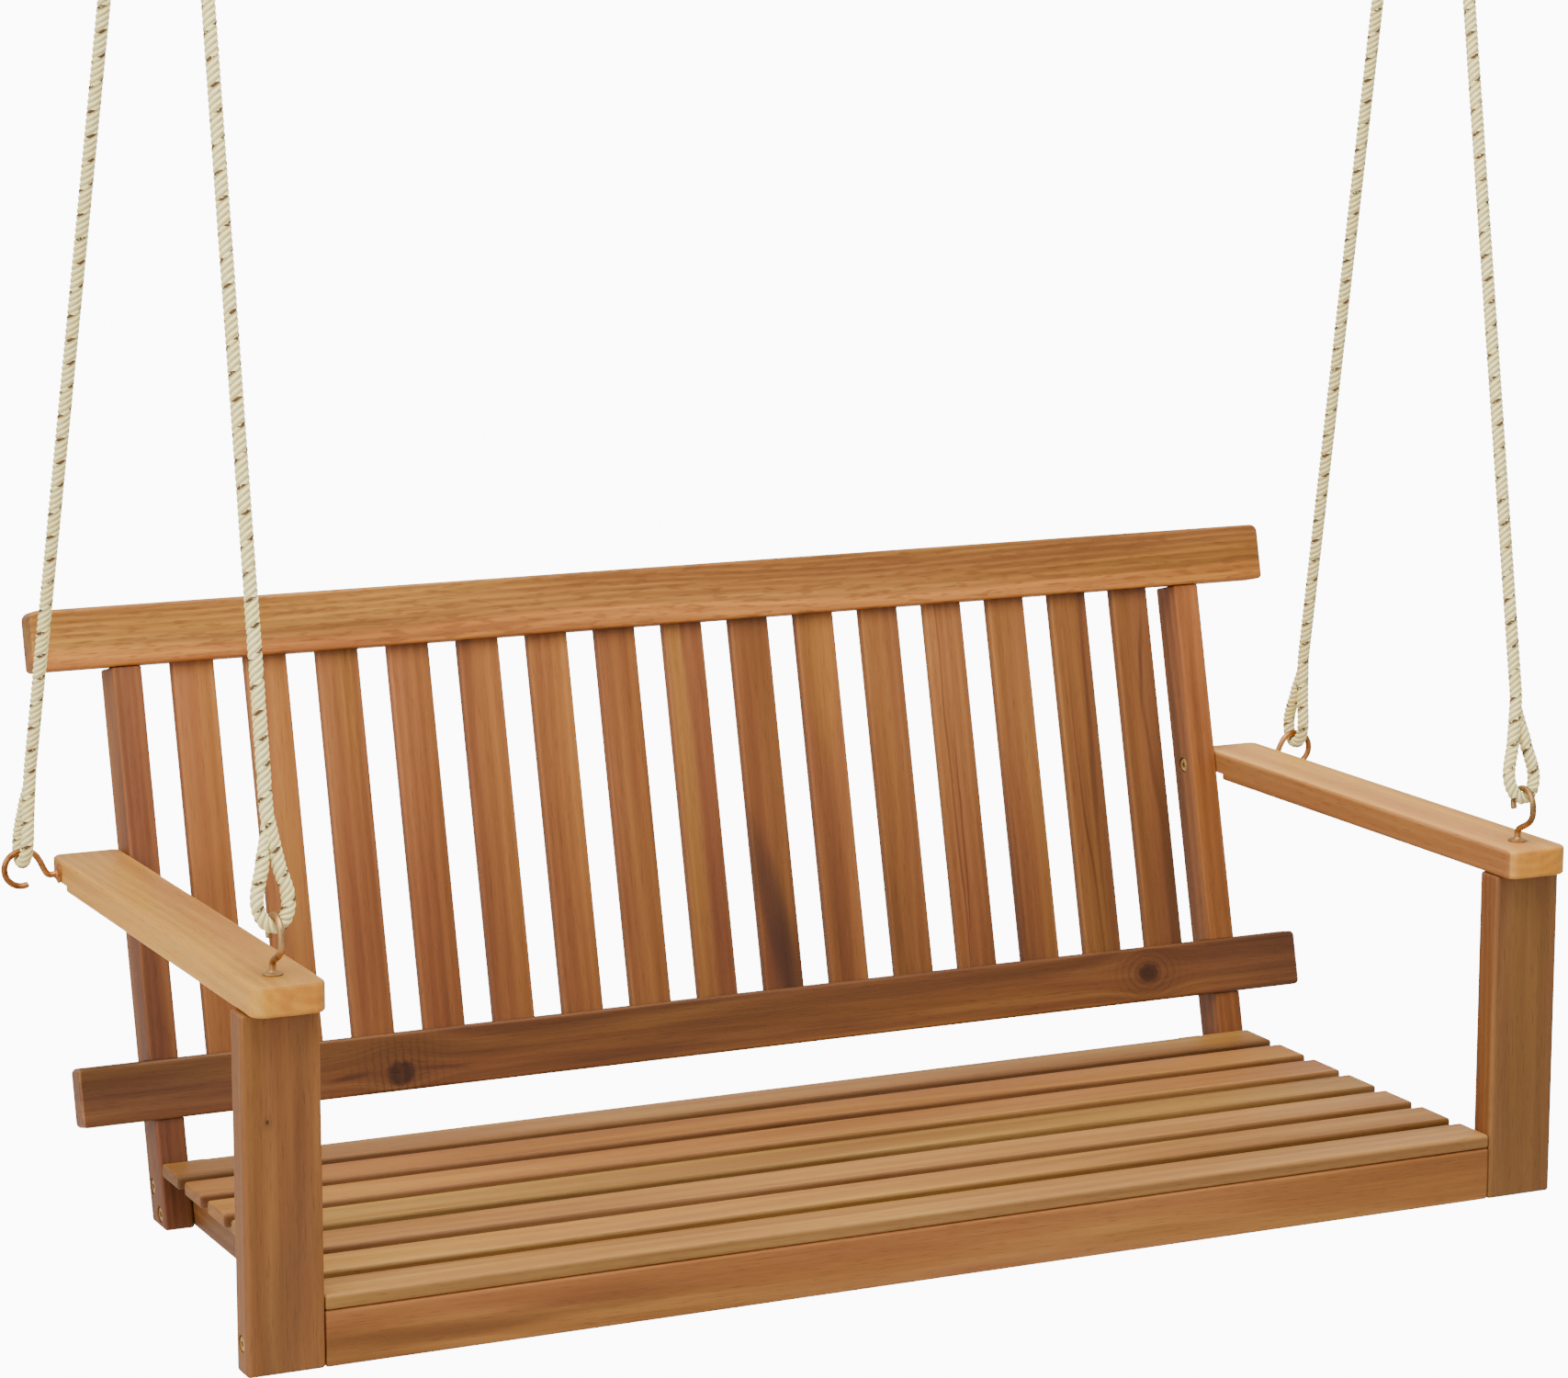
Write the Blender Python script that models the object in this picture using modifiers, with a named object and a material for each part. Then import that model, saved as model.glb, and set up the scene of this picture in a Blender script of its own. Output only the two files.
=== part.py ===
"""Slatted wooden porch swing on four ropes, built from separate boards and fittings.

The bench is described with x = 0 in its middle, y = 0 at the front faces of the front posts and
z = 0 under the posts. Every object is then shifted so the origin lies on the ceiling plane.
"""

import math

import bmesh
import bpy
import numpy as np
from mathutils import Matrix, Vector

COLLECTION_NAME = "porch_swing"
GAP = 0.0003  # clearance between pieces that touch
EDGE = 0.0028  # rounding of the board edges

# bench frame, metres
HALF_OUTER = 0.660  # middle to the outer faces of the front posts
POST_WIDTH = 0.0705
HALF_INNER = HALF_OUTER - POST_WIDTH  # middle to the slat ends, back posts and armrest inner edges
BOARD = 0.029  # thickness of posts, joists and front rail
POST_TOP = 0.3168
SLAT_BOTTOM = 0.0505
SEAT_TOP = SLAT_BOTTOM + 0.0132
SEAT_DEPTH = 0.449  # post fronts to the back edge of the rearmost slat
SEAT_SLATS = 7
SEAT_SLAT_WIDTH = 0.0495
SEAT_FRONT = 0.0005
SEAT_SLAT_PITCH = (SEAT_DEPTH - SEAT_FRONT - SEAT_SLAT_WIDTH) / (SEAT_SLATS - 1)
JOIST_REAR = SEAT_DEPTH + 0.0455
REAR_RAIL_Y = (SEAT_DEPTH - 0.0085 - BOARD, SEAT_DEPTH - 0.0085)
ARM_BOTTOM = POST_TOP + GAP
ARM_TOP = ARM_BOTTOM + 0.0275
ARM_FRONT = -0.0215
ARM_REAR = SEAT_DEPTH + 0.1075
ARM_OUTER = HALF_OUTER - 0.0039
ARM_STEP_Y = SEAT_DEPTH + 0.059
ARM_STEP = 0.0065

# back frame: n is measured rearwards from the post fronts, s up along the posts
BACK_Y = SEAT_DEPTH - 0.009
BACK_LEAN = math.radians(13.5)
BACK_POST_DEPTH = 0.040
RAIL_PROUD = 0.0035
LOWER_RAIL = (0.1044, 0.1604)
LOWER_RAIL_THICK = 0.025
TOP_RAIL = (0.5320, 0.5895)
TOP_RAIL_THICK = 0.030
TOP_RAIL_HALF = HALF_OUTER + 0.006
TENON = (0.0060, 0.0200, 0.0180)  # n from, n to, length into the top rail
BACK_SLATS = 15
BACK_SLAT_WIDTH = 0.042
BACK_SLAT_PITCH = (2 * (HALF_INNER - BOARD) + BACK_SLAT_WIDTH) / (BACK_SLATS + 1)  # equal gaps, posts included
BACK_SLAT_N = (0.004, 0.016)
BACK_SLAT_INSET = 0.012

# bolts and barrel nuts
BOLT_R = 0.003
HEAD_R = 0.007
HEAD_H = 0.0035
HEAD_SUNK = 0.0010  # head face below the wood
SOCKET_R = 0.0029
SOCKET_DEPTH = 0.0022
NUT_R = 0.005
NUT_LENGTH = 0.018
POST_BOLT_YZ = (0.0160, 0.0267)
BACK_BOLTS_YZ = ((SEAT_DEPTH + 0.0295, 0.0336), (SEAT_DEPTH + 0.0085, 0.0120))
ARM_BOLT_Z = ARM_BOTTOM + 0.0129
ARM_BOLT_YZ = (BACK_Y + ARM_BOLT_Z * math.tan(BACK_LEAN) + 0.0208, ARM_BOLT_Z)

# hooks, profile as (along the shank, sideways), from the flange face
WIRE_R = 0.003
FLANGE_R = 0.009
FLANGE_H = 0.0016
RING_CENTRE = (0.0360, 0.0080)
RING_R = 0.0163
RING_END = -112.0
HOOK_NECK = ((0.0, 0.0), (0.0045, 0.0), (0.0090, 0.0), (0.0118, 0.0016), (0.0146, 0.0062),
             (0.0176, 0.0126), (0.0212, 0.0185), (0.0258, 0.0226), (0.0310, 0.0243))
FRONT_HOOK = (HALF_OUTER - 0.0355, 0.0190, ARM_TOP)
REAR_HOOK = (ARM_OUTER, SEAT_DEPTH + 0.0820, ARM_BOTTOM + 0.0139)
FRONT_SHANK = 0.060
REAR_SHANK = 0.032
CEILING_SHANK = 0.030

# ropes
ROPE_R = 0.006
CEILING_Z = 1.322
FRONT_TOP = (HALF_OUTER - 0.0373, 0.1596)  # x, y of the front pair's ceiling hooks
REAR_TOP = (HALF_OUTER - 0.0150, 0.3070)
ORIGIN_Y = 0.2333
ROPE_SIDES = 2  # bevel resolution of the rope tube
# eye of a rope as (sideways, along the rope from the bottom of the eye)
EYE = ((0.0063, 0.0580), (0.0080, 0.0480), (0.0108, 0.0385), (0.0132, 0.0285), (0.0138, 0.0190),
       (0.0122, 0.0110), (0.0088, 0.0044), (0.0044, 0.0010), (0.0000, 0.0000), (-0.0044, 0.0010),
       (-0.0088, 0.0044), (-0.0122, 0.0110), (-0.0138, 0.0190), (-0.0132, 0.0285), (-0.0108, 0.0385),
       (-0.0080, 0.0480), (-0.0062, 0.0580), (-0.0046, 0.0670), (-0.0030, 0.0770), (-0.0012, 0.0880),
       (0.0000, 0.1000))

SHIFT = Vector((0.0, -ORIGIN_Y, -CEILING_Z))
TONES = {
    "arm_wood": (0.55, 0.32, 0.15), "post_wood": (0.36, 0.20, 0.09), "rail_wood": (0.31, 0.13, 0.06),
    "slat_wood": (0.38, 0.16, 0.07), "seat_wood": (0.47, 0.26, 0.13), "hidden_wood": (0.24, 0.12, 0.06),
    "bolt_brass": (0.72, 0.58, 0.30), "hook_metal": (0.72, 0.42, 0.22), "rope_fibre": (0.78, 0.71, 0.55),
}
METALS = ("bolt_brass", "hook_metal")


def clear_scene():
    for obj in list(bpy.data.objects):
        bpy.data.objects.remove(obj, do_unlink=True)


def make_collection(name, hidden):
    group = bpy.data.collections.new(name)
    bpy.context.scene.collection.children.link(group)
    group.hide_render = hidden
    return group


clear_scene()
parts = make_collection(COLLECTION_NAME, False)
cutters = make_collection("cutters", True)


def material_for(name, tone):
    material = bpy.data.materials.new(name)
    material.use_nodes = True
    shader = material.node_tree.nodes["Principled BSDF"]
    shader.inputs["Base Color"].default_value = (*TONES[tone], 1.0)
    shader.inputs["Metallic"].default_value = 1.0 if tone in METALS else 0.0
    shader.inputs["Roughness"].default_value = 0.35 if tone in METALS else 0.6
    return material


def add_object(name, mesh, tone, location=(0, 0, 0), parent=None):
    obj = bpy.data.objects.new(name, mesh)
    mesh.materials.append(material_for(name, tone))
    parts.objects.link(obj)
    obj.parent = parent
    obj.location = Vector(location) if parent else Vector(location) + SHIFT
    return obj


def add_cutter(name, meshes_at, parent=None):
    """One cutter object from (mesh, matrix) pairs that don't touch each other."""
    joined = bmesh.new()
    for mesh, matrix in meshes_at:
        piece = mesh.copy()
        piece.transform(matrix)
        joined.from_mesh(piece)
        bpy.data.meshes.remove(piece)
    data = bpy.data.meshes.new(name)
    joined.to_mesh(data)
    joined.free()
    obj = bpy.data.objects.new(name, data)
    obj.display_type = "WIRE"
    obj.hide_render = True
    cutters.objects.link(obj)
    obj.parent = parent
    if not parent:
        obj.location = SHIFT
    return obj


def box_mesh(name, low, high):
    low, high = Vector(low), Vector(high)
    shape = bmesh.new()
    bmesh.ops.create_cube(shape, size=1.0)
    for vert in shape.verts:
        vert.co = Vector([low[i] + (vert.co[i] + 0.5) * (high[i] - low[i]) for i in range(3)])
    mesh = bpy.data.meshes.new(name)
    shape.to_mesh(mesh)
    shape.free()
    return mesh


def prism_mesh(name, outline, from_, to, axes):
    """Extrudes a flat outline. axes gives, for outline u, outline v and the extrusion, which axis each is."""
    shape = bmesh.new()
    rings = []
    for depth in (from_, to):
        ring = []
        for u, v in outline:
            point = [0.0, 0.0, 0.0]
            point[axes[0]], point[axes[1]], point[axes[2]] = u, v, depth
            ring.append(shape.verts.new(point))
        rings.append(ring)
    shape.faces.new(rings[0])
    shape.faces.new(rings[1])
    count = len(outline)
    for i in range(count):
        j = (i + 1) % count
        shape.faces.new((rings[0][i], rings[0][j], rings[1][j], rings[1][i]))
    bmesh.ops.recalc_face_normals(shape, faces=shape.faces)
    mesh = bpy.data.meshes.new(name)
    shape.to_mesh(mesh)
    shape.free()
    return mesh


def cylinder_mesh(name, radius, from_, to, sides=24, axis=0):
    """Closed cylinder along one axis."""
    outline = [(radius * math.cos(2 * math.pi * i / sides), radius * math.sin(2 * math.pi * i / sides))
               for i in range(sides)]
    return prism_mesh(name, outline, from_, to, ((1, 2, 0), (2, 0, 1), (0, 1, 2))[axis])


def rounded_outline(low, high, radii, steps=5):
    """Rectangle outline with one radius per corner: low-low, high-low, high-high, low-high."""
    corners = ((low[0], low[1], 180, radii[0], 1, 1), (high[0], low[1], 270, radii[1], -1, 1),
               (high[0], high[1], 0, radii[2], -1, -1), (low[0], high[1], 90, radii[3], 1, -1))
    outline = []
    for x, y, start, radius, sx, sy in corners:
        for k in range(steps + 1):
            angle = math.radians(start + 90 * k / steps)
            outline.append((x + sx * radius + radius * math.cos(angle), y + sy * radius + radius * math.sin(angle)))
    return outline


def bevel(obj, width=EDGE, segments=2, limit=50.0):
    modifier = obj.modifiers.new("edges", "BEVEL")
    modifier.width = width
    modifier.segments = segments
    modifier.limit_method = "ANGLE"
    modifier.angle_limit = math.radians(limit)
    return modifier


def subtract(obj, cutter):
    modifier = obj.modifiers.new("cut_" + cutter.name[:40], "BOOLEAN")
    modifier.operation = "DIFFERENCE"
    modifier.solver = "EXACT"
    modifier.object = cutter


def smooth(mesh):
    mesh.polygons.foreach_set("use_smooth", np.ones(len(mesh.polygons), dtype=bool))


def bored(radius, from_, to, y, z, side=1):
    """Bore along x at y, z; side -1 mirrors it."""
    low, high = sorted((side * from_, side * to))
    return cylinder_mesh("bore", radius, low, high), Matrix.Translation((0, y, z))


def tube_mesh(name, points, radius, resolution):
    """Closed round tube along the points."""
    curve = bpy.data.curves.new(name, "CURVE")
    curve.dimensions = "3D"
    curve.bevel_depth = radius
    curve.bevel_resolution = resolution
    curve.use_fill_caps = True
    spline = curve.splines.new("POLY")
    spline.points.add(len(points) - 1)
    for slot, point in zip(spline.points, points):
        slot.co = (*point, 1.0)
    holder = bpy.data.objects.new(name, curve)
    parts.objects.link(holder)
    bpy.context.view_layer.update()
    mesh = bpy.data.meshes.new_from_object(holder.evaluated_get(bpy.context.evaluated_depsgraph_get()))
    matrix = holder.matrix_world.copy()
    bpy.data.objects.remove(holder, do_unlink=True)
    mesh.transform(matrix)
    shape = bmesh.new()
    shape.from_mesh(mesh)
    bmesh.ops.remove_doubles(shape, verts=shape.verts, dist=0.00001)
    bmesh.ops.recalc_face_normals(shape, faces=shape.faces)
    shape.to_mesh(mesh)
    shape.free()
    mesh.name = name
    return mesh


def build_seat():
    """Front rail, joists, rear rail and the seven seat slats."""
    inner = HALF_INNER - GAP
    y, z = POST_BOLT_YZ
    rail = add_object("front_rail", box_mesh("front_rail", (-inner, 0.0004, 0), (inner, BOARD, SLAT_BOTTOM - GAP)),
                      "post_wood")
    bevel(rail, 0.0015)
    holes = []
    for side in (-1, 1):
        holes.append(bored(BOLT_R + GAP, HALF_INNER - 0.040, HALF_INNER + 0.01, y, z, side))
    subtract(rail, add_cutter("front_rail_bores", holes))
    nuts = [(cylinder_mesh("nut_bore", NUT_R + GAP, -0.02, z + NUT_LENGTH / 2 + GAP - 0.0002, axis=2),
             Matrix.Translation((side * (HALF_INNER - 0.026), y, 0))) for side in (-1, 1)]
    subtract(rail, add_cutter("front_rail_nut_bores", nuts))

    for side, label in ((-1, "left"), (1, "right")):
        outer = HALF_INNER - BOARD - GAP
        low, high = sorted((side * outer, side * (outer - BOARD)))
        joist = add_object("seat_joist_" + label,
                           box_mesh("joist", (low, BOARD + GAP, 0.0005), (high, JOIST_REAR, SLAT_BOTTOM - GAP)),
                           "hidden_wood")
        bevel(joist, 0.0015)
        subtract(joist, add_cutter("joist_bores_" + label,
                                   [bored(BOLT_R + GAP, outer - 0.022, outer + 0.01, by, bz, side)
                                    for by, bz in BACK_BOLTS_YZ]))
    centre = add_object("seat_joist_centre",
                        box_mesh("joist", (-BOARD / 2, BOARD + GAP, 0.0005),
                                 (BOARD / 2, REAR_RAIL_Y[0] - GAP, SLAT_BOTTOM - GAP)), "hidden_wood")
    bevel(centre, 0.0015)
    reach = HALF_INNER - 2 * BOARD - 2 * GAP
    rear = add_object("rear_rail", box_mesh("rear_rail", (-reach, REAR_RAIL_Y[0], 0.0005),
                                            (reach, REAR_RAIL_Y[1], SLAT_BOTTOM - GAP)), "hidden_wood")
    bevel(rear, 0.0015)
    for i in range(SEAT_SLATS):
        front = SEAT_FRONT + (SEAT_SLATS - 1 - i) * SEAT_SLAT_PITCH
        slat = add_object(f"seat_slat_{i + 1}", box_mesh("seat_slat", (-inner, front, SLAT_BOTTOM),
                                                         (inner, front + SEAT_SLAT_WIDTH, SEAT_TOP)), "seat_wood")
        bevel(slat, 0.0022)


def build_front_posts():
    y, z = POST_BOLT_YZ
    x, hook_y, _ = FRONT_HOOK
    for side, label in ((-1, "left"), (1, "right")):
        low, high = sorted((side * HALF_INNER, side * HALF_OUTER))
        post = add_object("front_post_" + label, box_mesh("front_post", (low, 0, 0), (high, BOARD, POST_TOP)),
                          "post_wood")
        bevel(post)
        holes = [bored(BOLT_R + GAP, HALF_INNER - 0.01, HALF_OUTER + 0.01, y, z, side)]
        subtract(post, add_cutter("front_post_bore_" + label, holes))
        sink = HALF_OUTER - HEAD_H - HEAD_SUNK
        subtract(post, add_cutter("front_post_sink_" + label,
                                  [bored(HEAD_R + 0.0006, sink - GAP, HALF_OUTER + 0.01, y, z, side)]))
        shank = (cylinder_mesh("shank", WIRE_R + GAP, ARM_TOP - FRONT_SHANK - GAP, ARM_TOP + 0.01, axis=2),
                 Matrix.Translation((side * x, hook_y, 0)))
        subtract(post, add_cutter("front_post_hook_" + label, [shank]))


def back_frame():
    """Empty whose local y is n and local z is s."""
    frame = bpy.data.objects.new("back_frame", None)
    parts.objects.link(frame)
    frame.location = Vector((0, BACK_Y, 0)) + SHIFT
    frame.rotation_euler = (-BACK_LEAN, 0, 0)
    return frame


def back_point(y, z):
    """Bench y, z as back frame n, s."""
    dy = y - BACK_Y
    return (dy * math.cos(BACK_LEAN) - z * math.sin(BACK_LEAN),
            dy * math.sin(BACK_LEAN) + z * math.cos(BACK_LEAN))


def build_back(frame):
    """Two leaning posts, the two rails and fifteen slats, all in the back frame."""
    notch = LOWER_RAIL_THICK - RAIL_PROUD + GAP
    low_s, high_s = LOWER_RAIL[0] - GAP, LOWER_RAIL[1] + GAP
    top_s = TOP_RAIL[0] - GAP
    tip_s = TOP_RAIL[0] + TENON[2]
    foot = BACK_POST_DEPTH * math.tan(BACK_LEAN)
    outline = [(0, 0), (BACK_POST_DEPTH, foot), (BACK_POST_DEPTH, tip_s), (0, tip_s)]
    for side, label in ((-1, "left"), (1, "right")):
        low, high = sorted((side * HALF_INNER, side * (HALF_INNER - BOARD)))
        post = add_object("back_post_" + label, prism_mesh("back_post", outline, low, high, (1, 2, 0)),
                          "slat_wood", parent=frame)
        bevel(post, 0.0022)
        joints = [box_mesh("notch", (low - 0.01, -0.02, low_s), (high + 0.01, notch, high_s)),
                  box_mesh("shoulder", (low - 0.01, -0.02, top_s), (high + 0.01, TENON[0], tip_s + 0.02)),
                  box_mesh("shoulder", (low - 0.01, TENON[1], top_s), (high + 0.01, 0.06, tip_s + 0.02))]
        subtract(post, add_cutter("back_post_joints_" + label, [(joint, Matrix()) for joint in joints], frame))
        holes = []
        for y, z in BACK_BOLTS_YZ:
            n, s = back_point(y, z)
            holes.append(bored(BOLT_R + GAP, HALF_INNER - BOARD - 0.01, HALF_INNER - HEAD_H, n, s, side))
        n, s = back_point(*ARM_BOLT_YZ)
        holes.append(bored(BOLT_R + GAP, HALF_INNER - BOARD + HEAD_H, HALF_INNER + 0.01, n, s, side))
        subtract(post, add_cutter("back_post_bores_" + label, holes, frame))
        sinks = []
        for y, z in BACK_BOLTS_YZ:
            bn, bs = back_point(y, z)
            sinks.append(bored(HEAD_R + 0.0006, HALF_INNER - HEAD_H - HEAD_SUNK - GAP, HALF_INNER + 0.01, bn, bs,
                               side))
        sinks.append(bored(HEAD_R + 0.0006, HALF_INNER - BOARD - 0.01,
                           HALF_INNER - BOARD + HEAD_H + HEAD_SUNK + GAP, n, s, side))
        subtract(post, add_cutter("back_post_sinks_" + label, sinks, frame))

    def slat_pockets(s_from, s_to):
        half = BACK_SLAT_WIDTH / 2 + GAP
        return [(box_mesh("pocket", (-half, BACK_SLAT_N[0] - GAP, s_from), (half, BACK_SLAT_N[1] + GAP, s_to)),
                 Matrix.Translation((x, 0, 0))) for x in slat_centres]

    middle = (BACK_SLATS - 1) / 2
    slat_centres = [(i - middle) * BACK_SLAT_PITCH for i in range(BACK_SLATS)]
    outline = rounded_outline((-TOP_RAIL_HALF, TOP_RAIL[0]), (TOP_RAIL_HALF, TOP_RAIL[1]),
                              (0.004, 0.004, 0.008, 0.008), 3)
    top = add_object("back_rail_top", prism_mesh("back_rail_top", outline, -RAIL_PROUD, TOP_RAIL_THICK - RAIL_PROUD,
                                                 (0, 2, 1)), "rail_wood", parent=frame)
    bevel(top, 0.003)
    subtract(top, add_cutter("top_pockets", slat_pockets(TOP_RAIL[0] - 0.01, TOP_RAIL[0] + BACK_SLAT_INSET + GAP),
                             frame))
    tenons = []
    for side in (-1, 1):
        low, high = sorted((side * (HALF_INNER + GAP), side * (HALF_INNER - BOARD - GAP)))
        tenons.append((box_mesh("tenon", (low, TENON[0] - GAP, TOP_RAIL[0] - 0.01), (high, TENON[1] + GAP, tip_s + GAP)),
                       Matrix()))
    subtract(top, add_cutter("top_tenons", tenons, frame))

    outline = rounded_outline((-HALF_OUTER, LOWER_RAIL[0]), (HALF_OUTER, LOWER_RAIL[1]), (0.003,) * 4, 2)
    lower = add_object("back_rail_lower", prism_mesh("back_rail_lower", outline, -RAIL_PROUD,
                                                     LOWER_RAIL_THICK - RAIL_PROUD, (0, 2, 1)),
                       "rail_wood", parent=frame)
    bevel(lower)
    subtract(lower, add_cutter("lower_pockets", slat_pockets(LOWER_RAIL[1] - BACK_SLAT_INSET - GAP,
                                                             LOWER_RAIL[1] + 0.01), frame))
    for i, x in enumerate(slat_centres):
        half = BACK_SLAT_WIDTH / 2
        slat = add_object(f"back_slat_{i + 1:02d}",
                          box_mesh("back_slat", (-half, BACK_SLAT_N[0], LOWER_RAIL[1] - BACK_SLAT_INSET),
                                   (half, BACK_SLAT_N[1], TOP_RAIL[0] + BACK_SLAT_INSET)),
                          "slat_wood", (x, 0, 0), frame)
        bevel(slat, 0.0018)


def build_armrests():
    for side, label in ((-1, "left"), (1, "right")):
        low, high = sorted((side * (HALF_INNER + GAP), side * ARM_OUTER))
        outer_first = (0.013, 0.010, 0.008, 0.010) if side < 0 else (0.010, 0.013, 0.010, 0.008)
        outline = rounded_outline((low, ARM_FRONT), (high, ARM_REAR), outer_first)
        arm = add_object("armrest_" + label, prism_mesh("armrest", outline, ARM_BOTTOM, ARM_TOP, (0, 1, 2)),
                         "arm_wood")
        bevel(arm, 0.003)
        step = box_mesh("step", (low - 0.02, ARM_STEP_Y, ARM_BOTTOM - 0.02),
                        (high + 0.02, ARM_REAR + 0.02, ARM_BOTTOM + ARM_STEP))
        subtract(arm, add_cutter("arm_step_" + label, [(step, Matrix())]))
        y, z = ARM_BOLT_YZ
        bores = [bored(BOLT_R + GAP, HALF_INNER - 0.01, HALF_INNER + 0.034, y, z, side),
                 bored(WIRE_R + GAP, ARM_OUTER - REAR_SHANK - GAP, ARM_OUTER + 0.01, *REAR_HOOK[1:], side),
                 (cylinder_mesh("hook", WIRE_R + GAP, ARM_BOTTOM - 0.01, ARM_TOP + 0.01, axis=2),
                  Matrix.Translation((side * FRONT_HOOK[0], FRONT_HOOK[1], 0)))]
        subtract(arm, add_cutter("arm_bores_" + label, bores))
        nut = (cylinder_mesh("nut", NUT_R + GAP, ARM_BOTTOM - 0.01, z + 0.007 + GAP, axis=2),
               Matrix.Translation((side * (HALF_INNER + 0.022), y, 0)))
        subtract(arm, add_cutter("arm_nut_" + label, [nut]))


def bolt_profile(length):
    """Half outline of a bolt lying along +x from its head face at x = 0."""
    return [(0.0, HEAD_R - 0.0008), (0.0008, HEAD_R), (HEAD_H, HEAD_R), (HEAD_H, BOLT_R),
            (length - 0.001, BOLT_R), (length, BOLT_R - 0.001)]


def turned_mesh(name, profile, sides=20):
    """Closed solid of revolution about x from (x, radius) points."""
    shape = bmesh.new()
    rings = []
    for x, radius in profile:
        rings.append([shape.verts.new((x, radius * math.cos(2 * math.pi * i / sides),
                                       radius * math.sin(2 * math.pi * i / sides))) for i in range(sides)])
    shape.faces.new(rings[0])
    shape.faces.new(rings[-1])
    for a, b in zip(rings, rings[1:]):
        for i in range(sides):
            j = (i + 1) % sides
            shape.faces.new((a[i], a[j], b[j], b[i]))
    bmesh.ops.recalc_face_normals(shape, faces=shape.faces)
    mesh = bpy.data.meshes.new(name)
    shape.to_mesh(mesh)
    shape.free()
    return mesh


def add_bolt(name, head, direction, length):
    """Socket bolt with its head face at head, pointing along x in the given direction."""
    mesh = turned_mesh(name, bolt_profile(length))
    mesh.transform(Matrix.Rotation(0 if direction > 0 else math.pi, 4, "Z"))
    bolt = add_object(name, mesh, "bolt_brass", head)
    low, high = sorted((-0.01 * direction, SOCKET_DEPTH * direction))
    socket = cylinder_mesh("socket", SOCKET_R, low, high, sides=6)
    subtract(bolt, add_cutter("socket_" + name, [(socket, Matrix.Translation(head))]))


def build_bolts():
    y, z = POST_BOLT_YZ
    arm_y, arm_z = ARM_BOLT_YZ
    for side, label in ((-1, "left"), (1, "right")):
        add_bolt("front_post_bolt_" + label, (side * (HALF_OUTER - HEAD_SUNK), y, z), -side,
                 HALF_OUTER - HEAD_SUNK - HALF_INNER + 0.0205)
        for k, (by, bz) in enumerate(BACK_BOLTS_YZ):
            add_bolt(f"back_post_bolt_{('upper', 'lower')[k]}_{label}", (side * (HALF_INNER - HEAD_SUNK), by, bz),
                     -side, BOARD - HEAD_SUNK + 0.020)
        add_bolt("armrest_bolt_" + label, (side * (HALF_INNER - BOARD + HEAD_SUNK), arm_y, arm_z), side,
                 BOARD - HEAD_SUNK + 0.0165)
        for name, x, ny, top in (("front_post_nut_", HALF_INNER - 0.026, y, z + NUT_LENGTH / 2 - 0.0002),
                                 ("armrest_nut_", HALF_INNER + 0.022, arm_y, arm_z + 0.007)):
            mesh = cylinder_mesh(name, NUT_R, top - NUT_LENGTH + 0.004, top, 16, 2)
            add_object(name + label, mesh, "bolt_brass", (side * x, ny, 0))


def hook_profile(shank):
    """Hook centreline as (along, sideways), from the buried end to the tip."""
    points = [(-shank, 0.0), *HOOK_NECK]
    angles = np.radians(np.linspace(84.0, RING_END, 20))
    points += [(RING_CENTRE[0] + RING_R * math.cos(a), RING_CENTRE[1] + RING_R * math.sin(a)) for a in angles]
    return points


def add_hook(name, at, along, sideways, shank):
    """Wire hook with a round flange; at is the flange's foot, along points out of the wood."""
    at, along, sideways = Vector(at), Vector(along), Vector(sideways)
    mesh = tube_mesh(name, [along * a + sideways * b for a, b in hook_profile(shank)], WIRE_R, 2)
    smooth(mesh)
    hook = add_object(name, mesh, "hook_metal", at)
    turn = along.to_track_quat("Z", "X").to_matrix().to_4x4()
    flange = cylinder_mesh("flange_" + name, FLANGE_R, GAP, GAP + FLANGE_H, 20, 2)
    flange.transform(turn)
    tool = add_cutter("flange_" + name, [(flange, Matrix.Translation(at))])
    modifier = hook.modifiers.new("flange", "BOOLEAN")
    modifier.operation = "UNION"
    modifier.solver = "EXACT"
    modifier.object = tool


def build_hooks():
    for side, label in ((-1, "left"), (1, "right")):
        out = (side, 0, 0)
        add_hook("front_hook_" + label, (side * FRONT_HOOK[0], *FRONT_HOOK[1:]), (0, 0, 1), (0, -1, 0), FRONT_SHANK)
        add_hook("rear_hook_" + label, (side * REAR_HOOK[0], *REAR_HOOK[1:]), out, (0, 0, 1), REAR_SHANK)
        for name, (x, y) in (("ceiling_hook_front_", FRONT_TOP), ("ceiling_hook_rear_", REAR_TOP)):
            # the ring's middle hangs over the rope, so the shank stands inwards of it
            add_hook(name + label, (side * (x - RING_CENTRE[1]), y, CEILING_Z), (0, 0, -1), out, CEILING_SHANK)


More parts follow.
